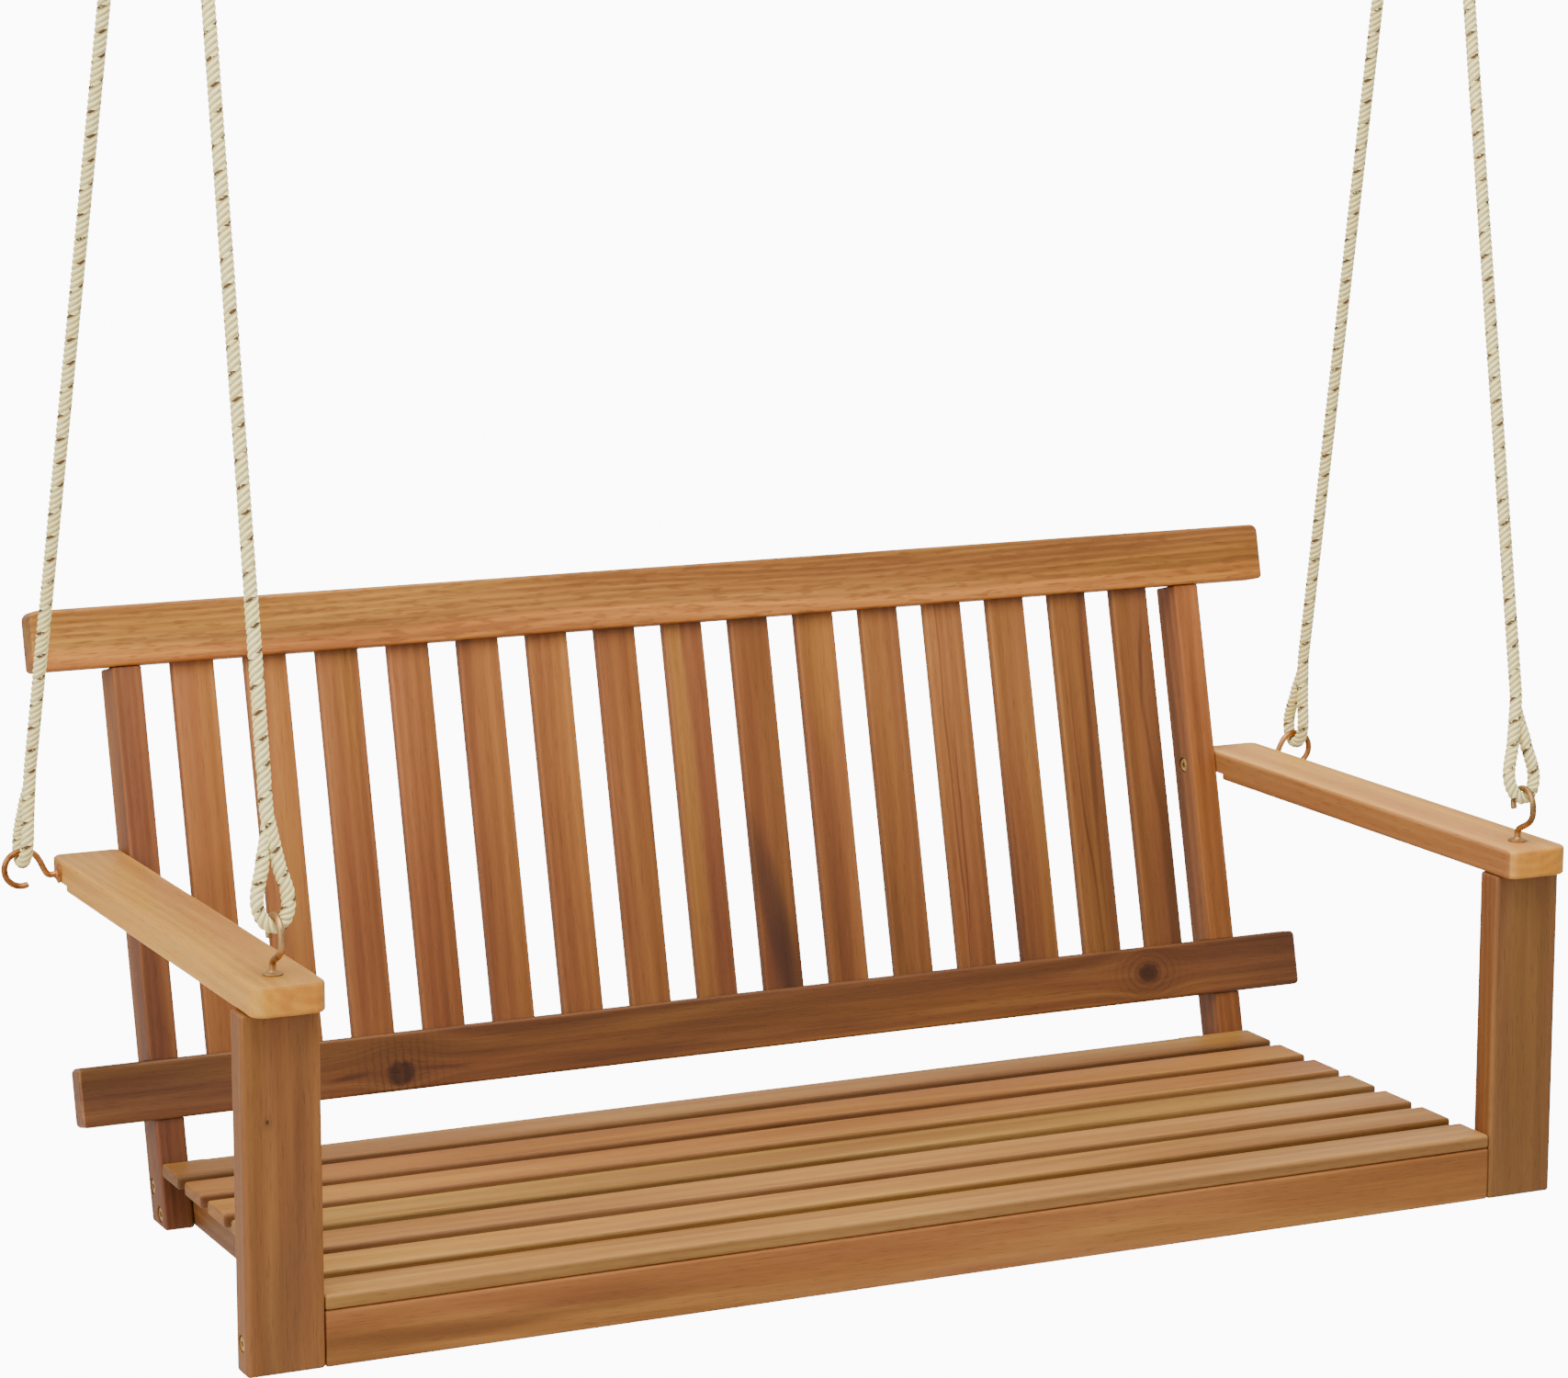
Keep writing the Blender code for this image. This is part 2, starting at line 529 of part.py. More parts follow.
def rope_route(side, pair):
    """Centreline of one rope from its lower splice to its upper one."""
    grip = WIRE_R + ROPE_R + 0.0004
    if pair == "front":
        x, y, z = FRONT_HOOK
        ring = Vector((side * x, y - RING_CENTRE[1], z + RING_CENTRE[0]))
        top = Vector((side * FRONT_TOP[0], FRONT_TOP[1], CEILING_Z - RING_CENTRE[0] - RING_R))
        up = (top - ring).normalized()
        low_end = ring + up * (RING_R - grip)
        low_side = Vector((side, 0, 0))
    else:
        x, y, z = REAR_HOOK
        wire = Vector((side * (x + RING_CENTRE[0] - 0.001), y, z + RING_CENTRE[1] + RING_R))
        top = Vector((side * REAR_TOP[0], REAR_TOP[1], CEILING_Z - RING_CENTRE[0] - RING_R))
        up = (top - wire).normalized()
        low_end = wire - up * (grip + 0.0004)
        low_side = Vector((0, 1, 0))
    low_side = (low_side - up * low_side.dot(up)).normalized()
    high_side = (Vector((0, 1, 0)) - up * up.y).normalized()
    high_end = top + up * grip
    points = [low_end + low_side * a + up * b for a, b in EYE]
    points += [high_end + high_side * a - up * b for a, b in reversed(EYE)]
    return points


def build_ropes():
    for side, label in ((-1, "left"), (1, "right")):
        for pair in ("front", "rear"):
            name = f"rope_{pair}_{label}"
            mesh = tube_mesh(name, rope_route(side, pair), ROPE_R, ROPE_SIDES)
            smooth(mesh)
            add_object(name, mesh, "rope_fibre")


build_seat()
build_front_posts()
build_back(back_frame())
build_armrests()
build_bolts()
build_hooks()
build_ropes()
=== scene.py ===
import math

import bpy
import numpy as np
from mathutils import Matrix, Vector


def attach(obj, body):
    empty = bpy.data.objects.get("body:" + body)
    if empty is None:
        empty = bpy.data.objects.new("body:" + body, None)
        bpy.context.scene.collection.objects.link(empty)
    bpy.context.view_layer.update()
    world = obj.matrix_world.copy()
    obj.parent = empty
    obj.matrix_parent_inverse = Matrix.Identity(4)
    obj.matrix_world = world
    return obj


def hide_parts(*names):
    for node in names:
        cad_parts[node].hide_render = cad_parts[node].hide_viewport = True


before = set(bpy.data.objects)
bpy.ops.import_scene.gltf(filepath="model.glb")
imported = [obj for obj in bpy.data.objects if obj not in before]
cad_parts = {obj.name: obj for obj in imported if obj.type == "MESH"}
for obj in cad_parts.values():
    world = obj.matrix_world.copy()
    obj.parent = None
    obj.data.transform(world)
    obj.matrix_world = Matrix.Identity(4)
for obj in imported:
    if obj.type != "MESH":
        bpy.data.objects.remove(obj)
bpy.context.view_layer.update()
print("frame loaded:", len(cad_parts), "nodes")

# The swing is laid out as on the bench: x from its middle, y back from the front posts, z up from
# their feet. toRow moves that into the frame, whose origin is on the ceiling.
toRow = np.array([0.0, -0.2333, -1.322])
gap = 0.0003

view = {
    "place": (-1.8768, -3.8491, -0.0396),
    "right": (0.903233, -0.429149, 0.000677),
    "down": (-0.076094, -0.161708, -0.983901),
    "ahead": (0.422350, 0.888640, -0.178716),
    "focal": 5089.86,      # for a picture 1707 wide
}
lens = bpy.data.cameras.new("viewer")
lens.sensor_width = 36.0
lens.lens = 36.0 * view["focal"] / 1707.0
lens.clip_start, lens.clip_end = 0.05, 200.0
viewer = bpy.data.objects.new("viewer", lens)
turned = Matrix((view["right"], [-v for v in view["down"]], [-v for v in view["ahead"]])).transposed()
viewer.matrix_world = Matrix.Translation(view["place"]) @ turned.normalized().to_4x4()
bpy.context.scene.collection.objects.link(viewer)
bpy.context.scene.camera = viewer
print("camera set")


class Term:
    # a shader socket that ordinary arithmetic works on
    def __init__(self, paint, out):
        self.paint, self.out = paint, out

    def maths(self, operation, *others):
        return self.paint.node("ShaderNodeMath", {"operation": operation}, [self, *others])

    def __add__(self, other):
        return self.maths("ADD", other)

    def __mul__(self, other):
        return self.maths("MULTIPLY", other)

    __radd__, __rmul__ = __add__, __mul__

    def __sub__(self, other):
        return self.maths("SUBTRACT", other)

    def __rsub__(self, other):
        return self.paint.node("ShaderNodeMath", {"operation": "SUBTRACT"}, [other, self])

    def __truediv__(self, other):
        return self.maths("DIVIDE", other)

    def __pow__(self, other):
        return self.maths("POWER", other)


class Paint:
    # one material and its nodes
    def __init__(self, name):
        self.material = bpy.data.materials.new(name)
        self.material.use_nodes = True
        self.tree = self.material.node_tree
        self.tree.nodes.clear()

    def node(self, kind, settings=None, inputs=(), out=0):
        made = self.tree.nodes.new(kind)
        for key, value in (settings or {}).items():
            if key == "stops":
                stops = made.color_ramp.elements
                stops[0].position, stops[0].color = value[0]
                stops[1].position, stops[1].color = value[-1]
                for place, colour in value[1:-1]:
                    stops.new(place).color = colour
            else:
                setattr(made, key, value)
        for key, value in inputs.items() if isinstance(inputs, dict) else enumerate(inputs):
            if isinstance(value, Term):
                self.tree.links.new(value.out, made.inputs[key])
            else:
                made.inputs[key].default_value = value
        return Term(self, made.outputs[out])

    def fade(self, value, low, high, start=0.0, end=1.0):
        return self.node("ShaderNodeMapRange", {"interpolation_type": "SMOOTHSTEP"}, [value, low, high, start, end])

    def noise(self, x, y, z, detail=2.0, rough=0.5):
        at = self.node("ShaderNodeCombineXYZ", {}, [x, y, z])
        return self.node("ShaderNodeTexNoise", {}, {"Vector": at, "Scale": 1.0, "Detail": detail, "Roughness": rough})

    def mix(self, share, first, second, how="MIX"):
        kind = {"data_type": "RGBA", "blend_type": how}
        return self.node("ShaderNodeMix", kind, {0: share, 6: first, 7: second}, 2)

    def ramp(self, value, *stops):
        return self.node("ShaderNodeValToRGB", {"stops": stops}, [value])

    def grey(self, value):
        return self.node("ShaderNodeCombineXYZ", {}, [value, value, value])

    def bump(self, height, strength, distance):
        return self.node("ShaderNodeBump", {}, {"Strength": strength, "Distance": distance, "Height": height})

    def surface(self, shader):
        end = self.tree.nodes.new("ShaderNodeOutputMaterial")
        self.tree.links.new(shader.out, end.inputs["Surface"])
        return self.material

    def finish(self, sockets):
        return self.surface(self.node("ShaderNodeBsdfPrincipled", {}, sockets))


def tint(red, green, blue):
    # a 0-255 colour as linear red, green, blue and alpha
    c = np.array([red, green, blue]) / 255.0
    return (*np.where(c <= 0.04045, c / 12.92, ((c + 0.055) / 1.055) ** 2.4).tolist(), 1.0)


def lean(points):
    # back frame (x, n rearwards from the post fronts, s up along them) to the bench: a turn about x
    x, n, s = points.T
    c, d = math.cos(back["lean"]), math.sin(back["lean"])
    return np.stack([x, back["y"] + n * c + s * d, s * c - n * d], 1)


def plank(low, high, edge, radii=None, order=(0, 1, 2), steps=4, lip=0.0007):
    # A rectangle with quarter-circle corners, carried from one end to the other. Near each end the outline
    # is drawn in by edge times (1 - sine) while it rises by edge times (1 - cosine), which rounds the end.
    # order says which axes the outline's two directions and the length are.
    low, high = np.array(low, float)[list(order)], np.array(high, float)[list(order)]
    radii = np.array(radii if radii else [edge + 0.0008] * 4)
    corners = np.array([[low[0], low[1]], [high[0], low[1]], [high[0], high[1]], [low[0], high[1]]])
    centres = corners + np.array([[1, 1], [-1, 1], [-1, -1], [1, -1]]) * radii[:, None]
    turn = np.radians([180, 270, 0, 90])[:, None] + np.linspace(0, np.pi / 2, steps + 1)
    turn = np.hstack([turn[:, :1], turn, turn[:, -1:]])
    aim = np.stack([np.cos(turn), np.sin(turn)], 2)
    slide = np.zeros(steps + 3)
    slide[0], slide[-1] = -lip, lip
    side = np.stack([-np.sin(turn), np.cos(turn)], 2) * slide[None, :, None]
    sweep = np.linspace(0, np.pi / 2, steps + 1)
    drawn = np.concatenate([[edge + lip * 0.9], edge * (1 - np.sin(sweep)), [0.0]])
    rise = np.concatenate([[0.0], edge * (1 - np.cos(sweep)), [edge + lip]])
    drawn = np.concatenate([drawn, drawn[::-1]])
    place = np.concatenate([low[2] + rise, high[2] - rise[::-1]])
    reach = radii[None, :, None] - drawn[:, None, None]
    flat = centres[None, :, None] + aim[None] * reach[..., None] + side[None]
    count = flat.shape[1] * flat.shape[2]
    rings = np.zeros((len(place), count, 3))
    rings[:, :, order[0]] = flat[..., 0].reshape(len(place), count)
    rings[:, :, order[1]] = flat[..., 1].reshape(len(place), count)
    rings[:, :, order[2]] = place[:, None]
    return closed(rings, order in ((0, 2, 1), (1, 0, 2), (2, 1, 0)))


def closed(rings, flip=False):
    # stacked closed outlines as one solid: four-sided faces between them and a flat face at each end
    m, n = rings.shape[:2]
    j, i = np.meshgrid(np.arange(m - 1), np.arange(n), indexing="ij")
    k = (i + 1) % n
    quads = np.stack([j * n + i, j * n + k, (j + 1) * n + k, (j + 1) * n + i], 2).reshape(-1, 4)
    caps = [np.arange(n)[::-1], np.arange(n) + (m - 1) * n]
    if flip:
        quads, caps = quads[:, ::-1], [cap[::-1] for cap in caps]
    return rings.reshape(-1, 3), quads, caps


def turnedPart(profile, at, along, sides=40):
    # a solid of revolution: (distance along, radius) pairs turned about the along axis
    along = np.array(along, float)
    first = np.cross(along, [0.0, 1.0, 0.0]) if abs(along[1]) < 0.9 else np.cross(along, [1.0, 0.0, 0.0])
    first /= np.linalg.norm(first)
    second = np.cross(along, first)
    a = np.arange(sides) * 2 * np.pi / sides
    ring = np.cos(a)[:, None] * first + np.sin(a)[:, None] * second
    profile = np.array(profile, float)
    rings = np.array(at, float) + profile[:, :1, None] * along + profile[:, 1:, None] * ring[None]
    return closed(rings)


def smoothPath(points, step):
    # Catmull-Rom curve through the points, then even spacing along it
    points = np.array(points, float)
    p = np.vstack([2 * points[0] - points[1], points, 2 * points[-1] - points[-2]])
    a, b, c, d = (p[k:len(p) - 3 + k, None] for k in range(4))
    t = np.linspace(0, 1, 20, endpoint=False)[None, :, None]
    curve = 0.5 * (2 * b + (c - a) * t + (2 * a - 5 * b + 4 * c - d) * t ** 2 + (3 * b - a - 3 * c + d) * t ** 3)
    curve = np.vstack([curve.reshape(-1, 3), points[-1]])
    run = np.concatenate([[0.0], np.cumsum(np.linalg.norm(np.diff(curve, axis=0), axis=1))])
    even = np.linspace(0, run[-1], int(round(run[-1] / step)) + 1)
    return np.stack([np.interp(even, run, curve[:, k]) for k in range(3)], 1), even


def alongPath(path, guide):
    # unit direction of a path and two more square to it, the first one nearest to guide
    ahead = np.gradient(path, axis=0)
    ahead /= np.linalg.norm(ahead, axis=1)[:, None]
    first = guide - ahead * (guide * ahead).sum(1)[:, None]
    first /= np.linalg.norm(first, axis=1)[:, None]
    return first, np.cross(ahead, first)


def wire(path, reach, guide, sides=20):
    # circles of the given radii carried along a path
    first, second = alongPath(path, np.broadcast_to(guide, path.shape))
    a = np.arange(sides) * 2 * np.pi / sides
    ring = np.cos(a)[None, :, None] * first[:, None] + np.sin(a)[None, :, None] * second[:, None]
    return closed(path[:, None] + ring * np.asarray(reach)[:, None, None])


def makeMesh(name, shape, sharp=32.0):
    points, quads, caps = shape
    mesh = bpy.data.meshes.new(name)
    mesh.from_pydata(np.asarray(points, float).tolist(), [], quads.tolist() + [list(map(int, cap)) for cap in caps])
    shadeSmooth(mesh, sharp)
    return mesh


def shadeSmooth(mesh, sharp):
    mesh.polygons.foreach_set("use_smooth", np.ones(len(mesh.polygons), bool))
    mesh.update()
    mesh.set_sharp_from_angle(angle=math.radians(sharp))


def together(*shapes):
    # several solids as one mesh
    points, quads, caps, start = [], [], [], 0
    for p, q, c in shapes:
        points.append(p), quads.append(q + start), caps.extend(cap + start for cap in c)
        start += len(p)
    return np.vstack(points), np.vstack(quads), caps


def cutAway(mesh, shapes):
    # the mesh less some solids, as a new mesh
    holder = bpy.data.objects.new("holder", mesh)
    bpy.context.scene.collection.objects.link(holder)
    tools = []
    for shape in shapes:
        tool = bpy.data.objects.new("tool", makeMesh("tool", shape))
        bpy.context.scene.collection.objects.link(tool)
        step = holder.modifiers.new("cut", "BOOLEAN")
        step.operation, step.solver, step.object = "DIFFERENCE", "EXACT", tool
        tools.append(tool)
    bpy.context.view_layer.update()
    made = bpy.data.meshes.new_from_object(holder.evaluated_get(bpy.context.evaluated_depsgraph_get()))
    for extra in [holder, *tools]:
        bpy.data.objects.remove(extra, do_unlink=True)
    shadeSmooth(made, 32.0)
    made.name = mesh.name
    return made


def addPiece(name, mesh, finish, body, node):
    mesh.name = name
    mesh.transform(Matrix.Translation(toRow))
    mesh.materials.clear()
    mesh.materials.append(finish)
    piece = bpy.data.objects.new(name, mesh)
    bpy.context.scene.collection.objects.link(piece)
    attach(piece, body)
    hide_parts(node)
    return piece


hookShape = {
    "wire": 0.0030, "flangeReach": 0.0090, "flangeHigh": 0.0016,
    "ringCentre": (0.0360, 0.0080), "ringReach": 0.0163, "ringEnd": -112.0,
    "neck": ((0.0, 0.0), (0.0045, 0.0), (0.0090, 0.0), (0.0118, 0.0016), (0.0146, 0.0062),
             (0.0176, 0.0126), (0.0212, 0.0185), (0.0258, 0.0226), (0.0310, 0.0243)),
    "light": tint(192, 150, 98), "deep": tint(130, 98, 60), "rough": 0.50,
    "rearLight": tint(198, 134, 76), "rearDeep": tint(134, 80, 40),
}


def metalFinish(name, light, deep, rough, scale=60.0):
    # plated metal: two close tones in soft clouds, fine draw marks in the bump, a little uneven gloss
    p = Paint(name)
    spot = p.node("ShaderNodeTexCoord", out="Object")
    x, y, z = (p.node("ShaderNodeSeparateXYZ", {}, [spot], k) for k in range(3))
    cloud = p.noise(x * scale, y * scale, z * scale, 3.0, 0.6)
    fine = p.noise(x * 900, y * 900, z * 900, 2.0)
    colour = p.mix(p.fade(cloud, 0.35, 0.68), light, deep)
    colour = p.mix(p.fade(fine, 0.62, 0.78) * 0.35, colour, tuple(0.45 * v for v in deep[:3]) + (1.0,))
    return p.finish({"Base Color": colour, "Metallic": 1.0, "Normal": p.bump(fine, 0.12, 0.0002),
                     "Roughness": rough + (cloud - 0.5) * 0.28 + (fine - 0.5) * 0.1})


hookFinishes = {"front": metalFinish("hookBrass", hookShape["light"], hookShape["deep"], hookShape["rough"]),
                "rear": metalFinish("hookCopper", hookShape["rearLight"], hookShape["rearDeep"], hookShape["rough"])}


def addHook(name, node, body, at, along, sideways, shank):
    # the wire runs straight out of the wood, swings out at the neck and goes round three quarters of a ring
    h = hookShape
    at, along, sideways = (np.array(v, float) for v in (at, along, sideways))
    angles = np.radians(np.linspace(84.0, h["ringEnd"], 26))
    flat = [(-shank, 0.0), (-shank * 0.6, 0.0), (-shank * 0.2, 0.0), *h["neck"]]
    flat += list(zip(h["ringCentre"][0] + h["ringReach"] * np.cos(angles),
                     h["ringCentre"][1] + h["ringReach"] * np.sin(angles)))
    flat = np.array(flat)
    path, run = smoothPath(at + flat[:, :1] * along + flat[:, 1:] * sideways, 0.0011)
    left = run[-1] - run
    reach = h["wire"] - 0.0009 * np.clip(1 - left / 0.0010, 0, 1) ** 2     # the sawn tip is a little eased
    rod = wire(path, reach, np.cross(along, sideways))
    f, t = h["flangeReach"], h["flangeHigh"]
    disc = turnedPart([(gap, f - 0.0004), (gap + 0.0003, f), (gap + t * 0.55, f), (gap + t, f - 0.0014),
                       (gap + t + 0.0002, f - 0.0030), (gap + t + 0.0004, h["wire"] + 0.0012),
                       (gap + t + 0.0022, h["wire"] + 0.0003), (gap + t + 0.0024, h["wire"] - 0.0006)], at, along)
    finish = hookFinishes["rear" if "rear" in node else "front"]
    return addPiece(name, makeMesh(name, together(rod, disc), 40.0), finish, body, node)


post = {"outer": 0.660, "inner": 0.5895, "thick": 0.029, "top": 0.3168, "edge": 0.0030}
arm = {"bottom": 0.3171, "top": 0.3446, "front": -0.0215, "rear": 0.5565, "outer": 0.6561, "stepY": 0.508,
       "step": 0.0065, "edge": 0.0032}
frontHook, rearHook = (0.6245, 0.0190, arm["top"]), (arm["outer"], 0.5310, 0.3310)
ceilingHigh = 1.322
ceilingSpots = {"front": (0.6227, 0.1596), "rear": (0.6450, 0.3070)}
sides = (("left", -1), ("right", 1))
for label, side in sides:
    ending = label.capitalize()
    addHook("frontHook" + ending, "front_hook_" + label, "bench", (side * frontHook[0], *frontHook[1:]),
            (0, 0, 1), (0, -1, 0), 0.060)
    addHook("rearHook" + ending, "rear_hook_" + label, "bench", (side * rearHook[0], *rearHook[1:]),
            (side, 0, 0), (0, 0, 1), 0.032)
    for pair, (x, y) in ceilingSpots.items():
        addHook(
            "ceilingHook" + pair.capitalize() + ending, f"ceiling_hook_{pair}_{label}", "ceiling_hooks",
            (side * (x - hookShape["ringCentre"][1]), y, ceilingHigh), (0, 0, -1), (side, 0, 0), 0.030)
print("hooks made")


rope = {
    "thick": 0.012, "strands": 4, "lay": 0.0235, "groove": 0.0013, "around": 40, "step": 0.0009,
    # deep is the painted shade in the grooves between the strands
    "pale": tint(255, 247, 176), "shade": tint(252, 230, 144), "deep": tint(196, 152, 80), "fleck": tint(78, 44, 28),
    # one eye: (sideways, up from the bottom of the eye), from the buried tail round to the standing part
    "tail": ((0.0008, 0.0960), (0.0022, 0.0850), (0.0042, 0.0700)),
    "eye": ((0.0063, 0.0580), (0.0080, 0.0480), (0.0108, 0.0385), (0.0132, 0.0285), (0.0138, 0.0190),
            (0.0122, 0.0110), (0.0088, 0.0044), (0.0044, 0.0010), (0.0000, 0.0000), (-0.0044, 0.0010),
            (-0.0088, 0.0044), (-0.0122, 0.0110), (-0.0138, 0.0190), (-0.0132, 0.0285), (-0.0108, 0.0385),
            (-0.0080, 0.0480), (-0.0062, 0.0580), (-0.0046, 0.0670), (-0.0030, 0.0770), (-0.0012, 0.0880),
            (0.0000, 0.1000)),
}


def ropeRoute(side, pair):
    # eye round the lower hook, straight up, eye round the ceiling hook; also which way each eye faces
    h = hookShape
    grip = h["wire"] + rope["thick"] / 2 + 0.0004
    top = np.array([side * ceilingSpots[pair][0], ceilingSpots[pair][1],
                    ceilingHigh - h["ringCentre"][0] - h["ringReach"]])
    if pair == "front":
        x, y, z = frontHook
        hold = np.array([side * x, y - h["ringCentre"][1], z + h["ringCentre"][0]])
        up = (top - hold) / np.linalg.norm(top - hold)
        low, lowSide = hold + up * (h["ringReach"] - grip), np.array([side, 0.0, 0.0])
    else:
        x, y, z = rearHook
        hold = np.array([side * (x + h["ringCentre"][0] - 0.001), y, z + h["ringCentre"][1] + h["ringReach"]])
        up = (top - hold) / np.linalg.norm(top - hold)
        low, lowSide = hold - up * (grip + 0.0004), np.array([0.0, 1.0, 0.0])
    lowSide = lowSide - up * (lowSide @ up)
    lowSide /= np.linalg.norm(lowSide)
    highSide = np.array([0.0, 1.0, 0.0]) - up * up[1]
    highSide /= np.linalg.norm(highSide)
    high = top + up * grip
    loop = np.array(rope["tail"] + rope["eye"])
    lower = low + loop[:, :1] * lowSide + loop[:, 1:] * up
    upper = (high + loop[:, :1] * highSide - loop[:, 1:] * up)[::-1]
    between = np.linspace(lower[-1], upper[0], 30)[1:-1]
    return np.vstack([lower, between, upper]), np.cross(lowSide, up), np.cross(highSide, up)


def ropeSurface(name, points, lowFacing, highFacing):
    # radius = half the thickness, less a groove that follows |cosine| of half the strand angle; the strand
    # angle is strands times (angle round the rope less one turn each lay of length). The tails taper.
    path, run = smoothPath(points, rope["step"])
    share = np.clip((run / run[-1] - 0.3) / 0.4, 0, 1)[:, None]
    first, second = alongPath(path, lowFacing * (1 - share) + highFacing * share)
    n, m = rope["around"], len(path)
    angle = np.arange(n) * 2 * np.pi / n
    strand = rope["strands"] * (angle[None] - 2 * np.pi * run[:, None] / rope["lay"])
    full = rope["thick"] / 2 + 0.0002
    reach = full - rope["groove"] * (1 - np.abs(np.cos(strand / 2))) ** 1.15
    end = np.minimum(run, run[-1] - run)
    reach = reach * (0.35 + 0.65 * np.clip(end / 0.040, 0, 1) ** 0.9)[:, None]
    ring = np.cos(angle)[None, :, None] * first[:, None] + np.sin(angle)[None, :, None] * second[:, None]
    shape = closed(path[:, None] + ring * reach[..., None])
    mesh = makeMesh(name, shape, 75.0)
    # lay map: once round the rope across, metres of rope up
    j, i = np.meshgrid(np.arange(m - 1), np.arange(n), indexing="ij")
    across = np.stack([i, i + 1, i + 1, i], 2) / n
    up = np.stack([run[j], run[j], run[j + 1], run[j + 1]], 2)
    caps = np.zeros((2 * n, 2))
    caps[n:, 1] = run[-1]
    layMap = mesh.uv_layers.new(name="layMap")
    layMap.data.foreach_set("uv", np.vstack([np.stack([across, up], 3).reshape(-1, 2), caps]).ravel())
    return mesh, path, run[-1]


def ropeFinish():
    p = Paint("cottonRope")
    at = p.node("ShaderNodeUVMap", {"uv_map": "layMap"})
    around, up = (p.node("ShaderNodeSeparateXYZ", {}, [at], k) for k in range(2))
    spot = p.node("ShaderNodeTexCoord", out="Object")
    x, y, z = (p.node("ShaderNodeSeparateXYZ", {}, [spot], k) for k in range(3))
    strand = (around - up / rope["lay"]) * float(rope["strands"]) + 1000.0
    across = strand.maths("FRACT")                     # 0 at a crown, 0.5 in a groove
    off = (across - 0.5).maths("ABSOLUTE")
    groove = p.fade(off, 0.30, 0.02)
    crown = p.fade(off, 0.34, 0.50)
    which = (strand + 0.5).maths("FLOOR").maths("MODULO", float(rope["strands"]))
    traced = 1.0 - which.maths("MINIMUM", 1.0)         # one strand carries the dark yarn
    dash = (up / 0.0105 + (around - 0.5) * 0.4).maths("FRACT")
    blotch = p.noise(x * 420, y * 420, z * 420, 2.0)
    fleck = traced * p.fade(off, 0.12, 0.26) * p.fade(dash, 0.44, 0.54) * p.fade(blotch, 0.30, 0.42)
    cloud = p.noise(x * 55, y * 55, z * 55, 3.0)
    yarn = p.noise(strand * 9.0, up * 240, 0.0, 2.0, 0.6)
    fluff = p.noise(x * 1500, y * 1500, z * 1500, 2.0, 0.7)
    colour = p.mix(p.fade(cloud, 0.40, 0.75) * 0.55, rope["pale"], rope["shade"])
    colour = p.mix(p.fade(yarn, 0.52, 0.80) * 0.35, colour, rope["shade"])
    # painted shade in the grooves between the strands
    colour = p.mix(groove * 0.70, colour, rope["deep"])
    colour = p.mix(fleck * 0.95, colour, rope["fleck"])
    height = crown * 0.25 + yarn * 0.5 + fluff * 0.3 - groove * 0.4
    return p.finish({"Base Color": colour, "Roughness": 0.85 + (fluff - 0.5) * 0.2, "Specular IOR Level": 0.2,
                     "Normal": p.bump(height, 0.55, 0.0006)})


ropeLook = ropeFinish()
for label, side in sides:
    for pair, body in (("front", "front_ropes"), ("rear", "rear_ropes")):
        name = "rope" + pair.capitalize() + label.capitalize()
        mesh, path, long = ropeSurface(name, *ropeRoute(side, pair))
        cord = addPiece(name, mesh, ropeLook, body, f"rope_{pair}_{label}")
        path = path + toRow
        path[::3].tolist() + [path[-1].tolist()]
        print(name, "made,", round(long, 3), "m")


back = {"y": 0.4400, "lean": math.radians(13.5), "deep": 0.040, "proud": 0.0035, "lower": (0.1044, 0.1604),
        "lowerThick": 0.025, "top": (0.5320, 0.5895), "topThick": 0.030, "topHalf": 0.666,
        "slats": 15, "slatWide": 0.042, "slatPitch": 0.0726875, "slatN": (0.004, 0.016), "slatInset": 0.012}

woods = {
    "armWood": {"dark": tint(161, 101, 36), "mid": tint(198, 138, 60), "light": tint(218, 164, 81), "rings": 0.0090,
                "contrast": 0.75, "flame": 0.15, "ends": (1.05, 0.90, 0.55), "rough": 0.50},
    "postWood": {"dark": tint(89, 52, 24), "mid": tint(122, 76, 38), "light": tint(147, 99, 55), "rings": 0.0070,
                 "contrast": 0.90, "flame": 0.55, "ends": (0.75, 0.72, 0.70), "rough": 0.48},
    "railWood": {"dark": tint(96, 54, 21), "mid": tint(144, 87, 38), "light": tint(177, 117, 52), "rings": 0.0055,
                 "contrast": 1.10, "flame": 0.45, "ends": (0.75, 0.72, 0.70), "rough": 0.46},
    "slatWood": {"dark": tint(106, 59, 29), "mid": tint(145, 88, 46), "light": tint(169, 111, 60), "rings": 0.0080,
                 "contrast": 0.80, "flame": 0.50, "ends": (0.75, 0.72, 0.70), "rough": 0.48},
    "seatWood": {"dark": tint(117, 72, 31), "mid": tint(153, 105, 54), "light": tint(176, 129, 70), "rings": 0.0080,
                 "contrast": 0.85, "flame": 0.25, "ends": (0.85, 0.80, 0.75), "rough": 0.50},
}


